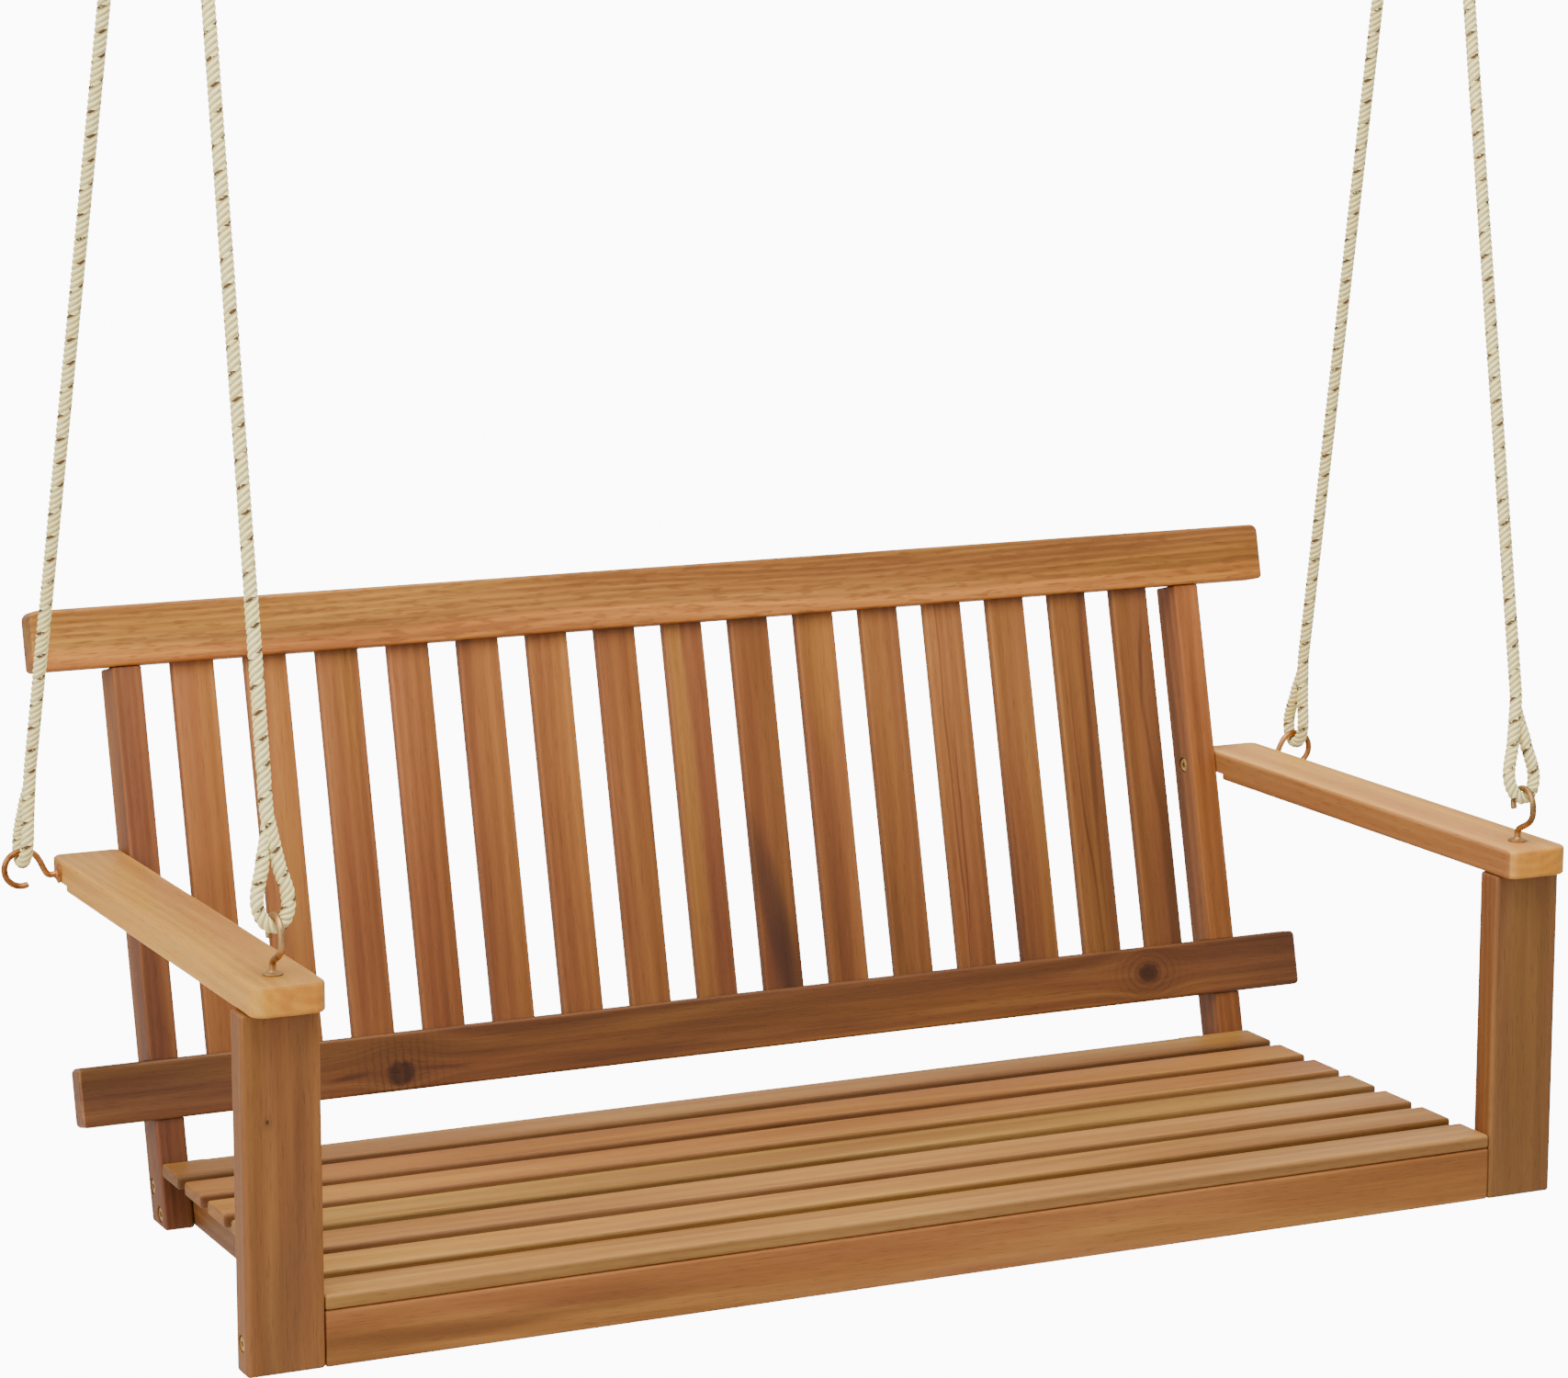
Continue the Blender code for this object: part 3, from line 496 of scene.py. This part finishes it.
def woodFinish(name, look, seed, centre, along, across, through, half, tone=1.0, fall=0.0, knots=(), pith=None,
               rings=None, contrast=None, splits=None, marks=(), faces=(), hue=None, mottle=0.0):
    # Sawn wood, in the board's own directions. Growth rings are circles round a wandering line beside the
    # board; long fibres, short pores and broad tone clouds are noise drawn out along the grain. Near a knot
    # the grain is squeezed towards it, so the lines part round it. Marks are soft long patches of another
    # tone (along, across, half length, half width, tilt, change): real tone patches, and on the back slats a
    # painted shadow under the top rail. Faces are sides given a change of colour of their own, which on the
    # seat slats, the armrests and the lower rail's end is painted light and shade.
    p, pick = Paint(name), np.random.default_rng(seed)
    shift = pick.uniform(-40, 40, 8)
    slope = pick.uniform(-0.012, 0.012)
    pith = pith or (pick.uniform(-0.05, 0.05), pick.choice([-1, 1]) * pick.uniform(0.030, 0.075))
    spacing = rings or look["rings"] * pick.uniform(0.85, 1.2)
    strength = contrast or look["contrast"]
    spot = p.node("ShaderNodeTexCoord", out="Object")
    offset = p.node("ShaderNodeVectorMath", {"operation": "SUBTRACT"}, [spot, tuple(np.array(centre) + toRow)])
    a, c, t = (p.node("ShaderNodeVectorMath", {"operation": "DOT_PRODUCT"}, [offset, tuple(v)], "Value")
               for v in (along, across, through))
    trueA, trueC, trueT = a, c, t
    spots, halo = 0.0, 0.0
    for ka, kc, size in knots:
        da, dc = trueA - ka, trueC - kc
        far = ((da * da) * 0.6 + dc * dc) ** 0.5 / size
        near = (far * far * -0.16).maths("EXPONENT")
        c = c - dc * near * 0.75
        edge = p.noise(a * 160 + shift[0], trueC * 160, t * 160, 2.0)
        spots = spots + p.fade(far + (edge - 0.5) * 0.5, 1.10, 0.70)
        halo = halo + near
    c = c + a * slope
    wander = p.noise(a * 1.5 + shift[1], c * 4.0, shift[2], 1.0) - 0.5
    stray = p.noise(a * 4.5 + shift[3], c * 45.0, t * 45.0 + shift[4], 2.0) - 0.5
    u, w = c - pith[0] + wander * 0.035, t - pith[1] + wander * 0.020
    ringAt = ((u * u + w * w) ** 0.5 + stray * 0.0035) / spacing
    ring = ((ringAt * (2 * math.pi)).maths("SINE") * 0.5 + 0.5) ** 1.6
    streak = p.noise(a * 2.6 + shift[5], c * 95.0, t * 95.0 + shift[6], 3.0, 0.62)
    fibre = p.noise(a * 9.0 + shift[6], c * 420.0, t * 420.0, 2.0, 0.6)
    pores = p.fade(p.noise(a * 42.0, c * 1050.0 + shift[7], t * 1050.0, 1.0), 0.60, 0.72)
    cloud = p.noise(a * 1.1 + shift[7], c * 11.0, t * 11.0 + shift[0], 2.0)
    value = (ring - 0.42) * 0.16 + (streak - 0.5) * 0.42 + (fibre - 0.5) * 0.32 + (cloud - 0.5) * 1.20
    value = value * strength + 0.5
    colour = p.ramp(value, (0.10, look["dark"]), (0.50, look["mid"]), (0.88, look["light"]))
    gold = p.fade(p.noise(a * 1.3 + shift[2], c * 24.0, t * 24.0 + shift[3], 2.0), 0.40, 0.64)
    colour = p.mix(gold * 0.70, colour, p.mix(1.0, colour, (1.12, 1.22, 0.86, 1.0), "MULTIPLY"))
    ruddy = p.fade(p.noise(a * 1.9 + shift[6], c * 32.0, t * 32.0 + shift[2], 2.0), 0.50, 0.66)
    colour = p.mix(ruddy * 0.60, colour, p.mix(1.0, colour, (0.86, 0.76, 0.86, 1.0), "MULTIPLY"))
    flame = p.fade(p.noise(a * 2.1 + shift[4], c * 30.0, t * 30.0 + shift[1], 3.0), 0.56, 0.74)
    colour = p.mix(flame * look["flame"], colour, tuple(0.80 * v for v in look["dark"][:3]) + (1.0,))
    if splits is None:
        splits = [(pick.uniform(-0.6, 0.6) * half[1], pick.uniform(-0.01, 0.01),
                   tuple(pick.uniform(0.84, 1.16) * np.array([1.0, 1.0, 0.95])))]
    for place, tilt, change in splits:                 # sapwood and heartwood meet in a wavering line
        beyond = p.fade(c + wander * 0.05 + stray * 0.012 + a * tilt - place, -0.0028, 0.0028)
        colour = p.mix(beyond, colour, p.mix(1.0, colour, (*change, 1.0), "MULTIPLY"))
    for ma, mc, long, wide, tilt, change in marks:
        da, dc = (trueA - ma) / long, (trueC - mc - (trueA - ma) * tilt + stray * 0.012) / wide
        near = (((da * da + dc * dc) ** 2.0) * -0.8).maths("EXPONENT")
        colour = p.mix(near, colour, p.mix(1.0, colour, (*change, 1.0), "MULTIPLY"))
    deep = tuple(0.45 * v for v in look["dark"][:3]) + (1.0,)
    if mottle:
        dash = p.noise(a * 34.0, c * 210.0 + shift[1], t * 210.0, 2.0, 0.6)
        colour = p.mix(p.fade(dash, 0.52, 0.64) * mottle, colour, look["dark"])
    colour = p.mix(pores * 0.30, colour, deep)
    if knots:
        whorl = p.fade((far * 7.0 + edge * 6.0).maths("SINE"), -1.0, 1.0) * 0.45
        colour = p.mix(halo * 0.30, colour, look["dark"])
        ripple = p.fade((far * 11.0 + edge * 4.0).maths("SINE"), 0.2, 0.9)
        colour = p.mix(halo * ripple * 0.40, colour, deep)
        colour = p.mix(spots * 0.90, colour, p.mix(whorl, deep, look["dark"]))
    ends = p.fade(trueA.maths("ABSOLUTE"), half[0] - 0.0012, half[0] - 0.0002)
    # lighter along the arrises: a painted highlight
    arrisHighlight = p.fade(trueC.maths("ABSOLUTE"), half[1] - 0.0045, half[1] - 0.0008) * \
        p.fade(trueT.maths("ABSOLUTE"), half[2] - 0.0045, half[2] - 0.0008)
    lit = (1.0 + arrisHighlight * 0.16) * tone
    colour = p.mix(ends, colour, p.mix(1.0, colour, (*look["ends"], 1.0), "MULTIPLY"))
    # painted shade: the colour darkens towards the low end of the board
    if fall:
        lit = lit * p.fade(trueA, -half[0], half[0], 1.0 - fall, 1.0)
    for axis, way, change in faces:
        there = p.fade((trueA, trueC, trueT)[axis] * float(way), half[axis] - 0.0030, half[axis] - 0.0012)
        colour = p.mix(there, colour, p.mix(1.0, colour, (*change, 1.0), "MULTIPLY"))
    if hue:
        colour = p.mix(1.0, colour, (*hue, 1.0), "MULTIPLY")
    colour = p.mix(1.0, colour, p.grey(lit), "MULTIPLY")
    height = fibre * 0.5 + streak * 0.3 + ring * 0.3 - pores * 0.8
    return p.finish({"Base Color": colour, "Specular IOR Level": 0.25, "Normal": p.bump(height, 0.30, 0.0004),
                     "Roughness": look["rough"] + (streak - 0.5) * 0.22 + pores * 0.15})


axisX, axisY, axisZ = np.eye(3)
upBack = np.array([0.0, math.sin(back["lean"]), math.cos(back["lean"])])
outBack = np.array([0.0, math.cos(back["lean"]), -math.sin(back["lean"])])


def addBoard(name, node, kind, low, high, edge, grain, order, radii=None, cuts=(), leaning=False, bend=None,
             seed=0, **more):
    # one board between two corners; grain is 0, 1 or 2 for the axis that it runs along
    low, high = np.minimum(low, high), np.maximum(low, high)
    shape = plank(low, high, edge, radii, order)
    if bend:
        shape = (bend(shape[0]), *shape[1:])
    if leaning:
        shape = (lean(shape[0]), *shape[1:])
    mesh = makeMesh(name, shape)
    if cuts:
        mesh = cutAway(mesh, cuts)
    own = (axisX, outBack, upBack) if leaning else (axisX, axisY, axisZ)
    rest = [k for k in (0, 1, 2) if k != grain]
    rest.sort(key=lambda k: low[k] - high[k])          # the wider way is across
    middle = (low + high) / 2
    centre = lean(middle[None])[0] if leaning else middle
    finish = woodFinish(name + "Wood", woods[kind], seed, centre, own[grain], own[rest[0]], own[rest[1]],
                        [(high - low)[k] / 2 for k in (grain, *rest)], **more)
    return addPiece(name, mesh, finish, "bench", node)


def sink(x, y, z, side, deep=0.0048, reach=0.0076):
    # round recess for a bolt head, with a slightly opened mouth; side is the way it opens
    return turnedPart([(-deep, reach), (-0.0007, reach), (0.0004, reach + 0.0008), (0.004, reach + 0.0044)],
                      (x, y, z), (side, 0, 0), 48)


def slabTool(low, high):
    # plain box for cutting
    low, high = np.array(low, float), np.array(high, float)
    flat = np.array([[low[0], low[1]], [high[0], low[1]], [high[0], high[1]], [low[0], high[1]]])
    rings = np.stack([np.column_stack([flat, np.full(4, z)]) for z in (low[2], high[2])])
    return closed(rings)


postBolt, armBolt = (0.0160, 0.0267), (0.54003, 0.3300)
backBolts = {"upper": (0.4785, 0.0336), "lower": (0.4575, 0.0120)}
seat = {"slats": 7, "wide": 0.0495, "pitch": 0.0665, "bottom": 0.0505, "top": 0.0637, "front": 0.0005}
seatTones = (0.74, 0.78, 0.89, 0.87, 0.97, 1.0, 1.08)   # from the rear slat to the front one
seatHues = ((1.0, 0.97, 0.98), (1.09, 0.96, 0.92), (1.05, 0.96, 0.90), (1.0, 1.05, 0.88), (1.0, 0.98, 0.95),
            (1.04, 1.04, 0.92), (0.98, 1.0, 0.96))
inner, outer, thick = post["inner"], post["outer"], post["thick"]

addBoard("frontRail", "front_rail", "postWood", (-inner + gap, 0.0004, 0), (inner - gap, thick, seat["bottom"] - gap),
         0.0020, 0, (1, 2, 0), seed=11, tone=1.34, hue=(1.0, 0.97, 0.92))
for k in range(seat["slats"]):
    front = seat["front"] + (seat["slats"] - 1 - k) * seat["pitch"]
    addBoard(f"seatSlat{k + 1}", f"seat_slat_{k + 1}", "seatWood", (-inner + gap, front, seat["bottom"]),
             (inner - gap, front + seat["wide"], seat["top"]), 0.0024, 0, (1, 2, 0), seed=20 + k,
             tone=seatTones[k], hue=seatHues[k],
             # the front side of each seat slat is painted darker: painted shade, deepest on the sides facing into the
             # gaps, lighter on the front slat
             faces=((1, -1, (0.77, 0.78, 0.82) if k == seat["slats"] - 1 else (0.52, 0.50, 0.52)),))
print("seat made")
frontPostLook = {
    "left": {"tone": 1.10, "contrast": 0.62, "knots": ((0.064, -0.0137, 0.0018),),
             "marks": ((-0.075, 0.006, 0.11, 0.018, 0.10, (0.80, 0.84, 0.92)),)},
    "right": {"tone": 0.98, "contrast": 0.70, "faces": ((2, -1, (1.06, 1.18, 1.26)), (1, -1, (0.92, 0.88, 1.02)))},
}
armrestLook = {
    # the left armrest's top is painted darker: painted shade
    "left": {"tone": 1.06, "faces": ((2, 1, (0.70, 0.70, 0.68)),)},
    # the right armrest's inner side is painted darker: painted shade
    "right": {"tone": 1.07, "faces": ((1, -1, (0.52, 0.44, 0.66)),)},
}
for label, side in sides:
    ending = label.capitalize()
    addBoard("frontPost" + ending, "front_post_" + label, "postWood", (side * inner, 0, 0),
             (side * outer, thick, post["top"]), post["edge"], 2, (0, 1, 2),
             cuts=[sink(side * outer, *postBolt, side)], seed=31 + side, **frontPostLook[label])
    jx = inner - thick - gap
    addBoard("seatJoist" + ending, "seat_joist_" + label, "postWood", (side * jx, thick + gap, 0.0005),
             (side * (jx - thick), 0.4945, seat["bottom"] - gap), 0.0020, 1, (0, 2, 1), seed=35 + side, tone=0.85)
    corner = (0.013, 0.010, 0.008, 0.010) if side < 0 else (0.010, 0.013, 0.010, 0.008)
    addBoard("armrest" + ending, "armrest_" + label, "armWood", (side * (inner + gap), arm["front"], arm["bottom"]),
             (side * arm["outer"], arm["rear"], arm["top"]), arm["edge"], 1, (0, 1, 2), radii=corner,
             cuts=[slabTool((-1, arm["stepY"], arm["bottom"] - 0.02), (1, 1, arm["bottom"] + arm["step"]))],
             seed=41 + side, **armrestLook[label])
addBoard("seatJoistCentre", "seat_joist_centre", "postWood", (-thick / 2, thick + gap, 0.0005),
         (thick / 2, 0.4112, seat["bottom"] - gap), 0.0020, 1, (0, 2, 1), seed=37, tone=0.85)
reach = inner - 2 * thick - 2 * gap
addBoard("rearRail", "rear_rail", "postWood", (-reach, 0.4115, 0.0005), (reach, 0.4405, seat["bottom"] - gap),
         0.0020, 0, (1, 2, 0), seed=38, tone=0.85)
print("frame and armrests made")


def slopedFoot(points):
    # the foot of a leaning post is level: s grows by n times the tangent of the lean at the low end
    x, n, s = points.T
    return np.stack([x, n, s + n * math.tan(back["lean"]) * (s < 0.02)], 1)


lowS, topS = back["lower"], back["top"]
backPostLook = {
    "left": {"tone": 0.80, "hue": (1.0, 0.99, 1.24)},
    "right": {"tone": 1.14, "hue": (1.05, 1.01, 0.92), "marks": ((-0.20, 0.0, 0.06, 0.03, 0.0, (0.80, 0.74, 0.80)),)},
}
for label, side in sides:
    low, high = sorted((side * inner, side * (inner - thick)))
    notch = slabTool((low - 0.01, -0.02, lowS[0] - gap), (high + 0.01, back["lowerThick"] - back["proud"] + gap,
                                                          lowS[1] + gap))
    notch = (lean(notch[0]), *notch[1:])
    cuts = [notch, *(sink(side * inner, *at, side) for at in backBolts.values()),
            sink(side * (inner - thick), *armBolt, -side)]
    addBoard("backPost" + label.capitalize(), "back_post_" + label, "slatWood", (low, 0, 0),
             (high, back["deep"], topS[0] - gap), 0.0024, 2, (0, 1, 2), cuts=cuts, leaning=True, bend=slopedFoot,
             # painted shade, darker towards the feet of the back posts
             seed=51 + side, fall=0.30, **backPostLook[label])
slatTones = (1.12, 1.16, 1.04, 1.16, 1.12, 1.02, 0.96, 0.88, 0.94, 0.92, 0.93, 1.02, 0.88, 0.80, 0.82)
slatMarks = {                                          # by slat, counted from the left
    3: ((0.16, 0.006, 0.12, 0.012, 0.01, (1.10, 1.20, 0.85)),),
    8: ((0.05, -0.011, 0.30, 0.008, 0.0, (1.12, 1.22, 0.86)),
        (-0.02, 0.011, 0.24, 0.009, 0.0, (0.80, 0.72, 0.84))),
    9: ((-0.125, -0.003, 0.105, 0.014, -0.15, (0.50, 0.52, 0.70)),
        (-0.17, 0.0, 0.055, 0.030, 0.0, (0.78, 0.74, 0.84))),
    10: ((0.15, 0.0, 0.10, 0.020, 0.0, (1.14, 1.24, 0.84)),),
    12: ((0.0, -0.0105, 0.30, 0.0012, 0.0, (0.62, 0.56, 0.60)),
         (-0.05, -0.004, 0.12, 0.0010, 0.03, (0.60, 0.54, 0.58))),
    14: ((0.07, 0.010, 0.20, 0.0030, 0.02, (0.66, 0.60, 0.66)),
         (-0.05, -0.004, 0.16, 0.0012, -0.03, (0.66, 0.58, 0.60))),
    15: ((0.11, 0.006, 0.045, 0.0026, 0.12, (0.62, 0.56, 0.62)),
         (0.02, 0.004, 0.07, 0.003, -0.06, (0.74, 0.68, 0.74))),
}
railShade = (0.1990, 0.0, 0.022, 1.0, 0.0, (0.66, 0.66, 0.72))   # dark just under the top rail, on every slat
for k in range(back["slats"]):
    x = (k - (back["slats"] - 1) / 2) * back["slatPitch"]
    wide = back["slatWide"] / 2
    addBoard(f"backSlat{k + 1}", f"back_slat_{k + 1:02d}", "slatWood",
             (x - wide, back["slatN"][0], lowS[1] - back["slatInset"]),
             (x + wide, back["slatN"][1], topS[0] + back["slatInset"]), 0.0020, 2, (0, 1, 2), leaning=True,
             # painted shade, darker towards the low end of each slat, and a painted shadow just under the top rail
             seed=60 + k, tone=slatTones[k], fall=0.31,
             marks=(railShade, *slatMarks.get(k + 1, ())))
addBoard("topRail", "back_rail_top", "railWood", (-back["topHalf"], -back["proud"], topS[0]),
         (back["topHalf"], back["topThick"] - back["proud"], topS[1]), 0.0032, 0, (0, 2, 1),
         radii=(0.0045, 0.0045, 0.008, 0.008), leaning=True, seed=81, tone=1.40,
         splits=((-0.0105, 0.004, (0.76, 0.84, 0.88)),), mottle=0.45)
addBoard("lowerRail", "back_rail_lower", "railWood", (-outer, -back["proud"], lowS[0]),
         (outer, back["lowerThick"] - back["proud"], lowS[1]), 0.0030, 0, (0, 2, 1), leaning=True, seed=83,
         tone=0.60, hue=(0.96, 0.95, 1.32), radii=(0.005, 0.005, 0.005, 0.005),
         splits=((0.012, -0.012, (0.85, 0.85, 0.9)), (-0.016, 0.01, (0.9, 0.92, 0.95))),
         knots=((-0.3431, -0.0108, 0.0124), (0.4809, 0.0014, 0.0105)),
         # the left end is painted about twice as light and bluer: painted light from the left
         faces=((0, -1, (1.9, 2.0, 2.3)),),
         marks=((-0.60, 0.0, 0.16, 0.050, 0.0, (0.78, 0.80, 0.96)),
                (-0.394, -0.010, 0.020, 0.0030, 0.10, (0.62, 0.56, 0.62)),
                (-0.30, -0.012, 0.030, 0.0022, -0.08, (0.72, 0.66, 0.70))))
print("back made")


bolt = {"head": 0.0070, "high": 0.0035, "shaft": 0.0030, "sunk": 0.0010, "socket": 0.0029, "socketDeep": 0.0022,
        "light": tint(222, 186, 112), "deep": tint(162, 120, 58), "rough": 0.38}
boltFinish = metalFinish("boltBrass", bolt["light"], bolt["deep"], bolt["rough"], 180.0)


def addBolt(name, node, head, way, long):
    # a turned head with an eased rim on a plain shaft, with a six-sided socket cut in its face
    b = bolt
    body = turnedPart([(0.0, b["head"] - 0.0011), (0.0001, b["head"] - 0.0008), (0.0006, b["head"] - 0.0001),
                       (0.0010, b["head"]), (b["high"], b["head"]), (b["high"], b["shaft"]),
                       (long - 0.001, b["shaft"]), (long, b["shaft"] - 0.001)], head, (way, 0, 0), 48)
    socket = turnedPart([(-0.003, b["socket"]), (b["socketDeep"], b["socket"])], head, (way, 0, 0), 6)
    return addPiece(name, cutAway(makeMesh(name, body), [socket]), boltFinish, "bench", node)


for label, side in sides:
    ending = label.capitalize()
    sunk = bolt["sunk"]
    addBolt("frontPostBolt" + ending, "front_post_bolt_" + label, (side * (outer - sunk), *postBolt), -side,
            outer - sunk - inner + 0.0205)
    for which, at in backBolts.items():
        addBolt(f"backPost{which.capitalize()}Bolt{ending}", f"back_post_bolt_{which}_{label}",
                (side * (inner - sunk), *at), -side, thick - sunk + 0.020)
    addBolt("armrestBolt" + ending, "armrest_bolt_" + label, (side * (inner - thick + sunk), *armBolt), side,
            thick - sunk + 0.0165)
    for kind, x, y, top in (("front_post_nut_", inner - 0.026, postBolt[0], postBolt[1] + 0.0088),
                            ("armrest_nut_", inner + 0.022, armBolt[0], armBolt[1] + 0.007)):
        nut = turnedPart([(-0.014, 0.0046), (-0.0136, 0.0050), (-0.0004, 0.0050), (0.0, 0.0046)],
                         (side * x, y, top), (0, 0, 1), 32)
        title = "frontPostNut" if kind.startswith("front") else "armrestNut"
        addPiece(title + ending, makeMesh(title, nut), boltFinish, "bench", kind + label)
print("bolts made")


room = {"floor": -1.322 - 0.42, "reach": 40.0, "pale": (0.55, 0.55, 0.55, 1.0), "sky": 0.90, "seen": 11.0}


def floorFinish():
    # a pale floor that the camera sees as bright as the sky behind it
    p = Paint("paleFloor")
    spot = p.node("ShaderNodeTexCoord", out="Object")
    x, y, z = (p.node("ShaderNodeSeparateXYZ", {}, [spot], k) for k in range(3))
    cloud = p.noise(x * 1.5, y * 1.5, z, 2.0)
    seen = p.node("ShaderNodeLightPath", out="Is Camera Ray")
    matt = p.node("ShaderNodeBsdfDiffuse", {}, {"Color": p.mix(cloud * 0.1, room["pale"], (0.50, 0.50, 0.50, 1.0))})
    glow = p.node("ShaderNodeEmission", {}, {"Color": (1.0, 1.0, 1.0, 1.0), "Strength": room["seen"]})
    return p.surface(p.node("ShaderNodeMixShader", {}, [seen, matt, glow]))


angle = np.arange(96) * 2 * np.pi / 96
ringOut = np.stack([np.cos(angle), np.sin(angle), 0 * angle], 1)
levels = np.array([0.4, 3.0, 10.0, room["reach"]])
disc = ringOut[None] * levels[:, None, None] + np.array([0, 0, room["floor"]])
points, quads, _ = closed(disc)
floorMesh = makeMesh("floor", (points, quads, [np.arange(len(angle))]))
floorMesh.materials.append(floorFinish())
floor = bpy.data.objects.new("floor", floorMesh)
bpy.context.scene.collection.objects.link(floor)

world = bpy.data.worlds.new("studio")
world.use_nodes = True
backdrop = world.node_tree.nodes["Background"].inputs
backdrop["Color"].default_value = (1.0, 1.0, 1.0, 1.0)
path = world.node_tree.nodes.new("ShaderNodeLightPath")
level = world.node_tree.nodes.new("ShaderNodeMapRange")
level.inputs["To Min"].default_value, level.inputs["To Max"].default_value = room["sky"], room["seen"]
world.node_tree.links.new(path.outputs["Is Camera Ray"], level.inputs["Value"])
world.node_tree.links.new(level.outputs[0], backdrop["Strength"])
bpy.context.scene.world = world


lamps = {
    "overhead": {"place": (-0.5, -0.8, 2.2), "wide": 3.0, "power": 190.0},
    "leftSoft": {"place": (-3.6, -1.2, 0.2), "wide": 2.4, "power": 70.0},
}


def addLamp(name, look):
    # a square soft light that looks at the bench
    light = bpy.data.lights.new(name, "AREA")
    light.shape, light.size, light.size_y, light.energy = "RECTANGLE", look["wide"], look["wide"], look["power"]
    held = bpy.data.objects.new(name, light)
    held.location = look["place"]
    held.rotation_euler = (Vector((0.0, 0.0, -1.0)) - Vector(look["place"])).to_track_quat("-Z", "Y").to_euler()
    bpy.context.scene.collection.objects.link(held)


for name, lamp in lamps.items():
    addLamp(name, lamp)
print("floor and light set")
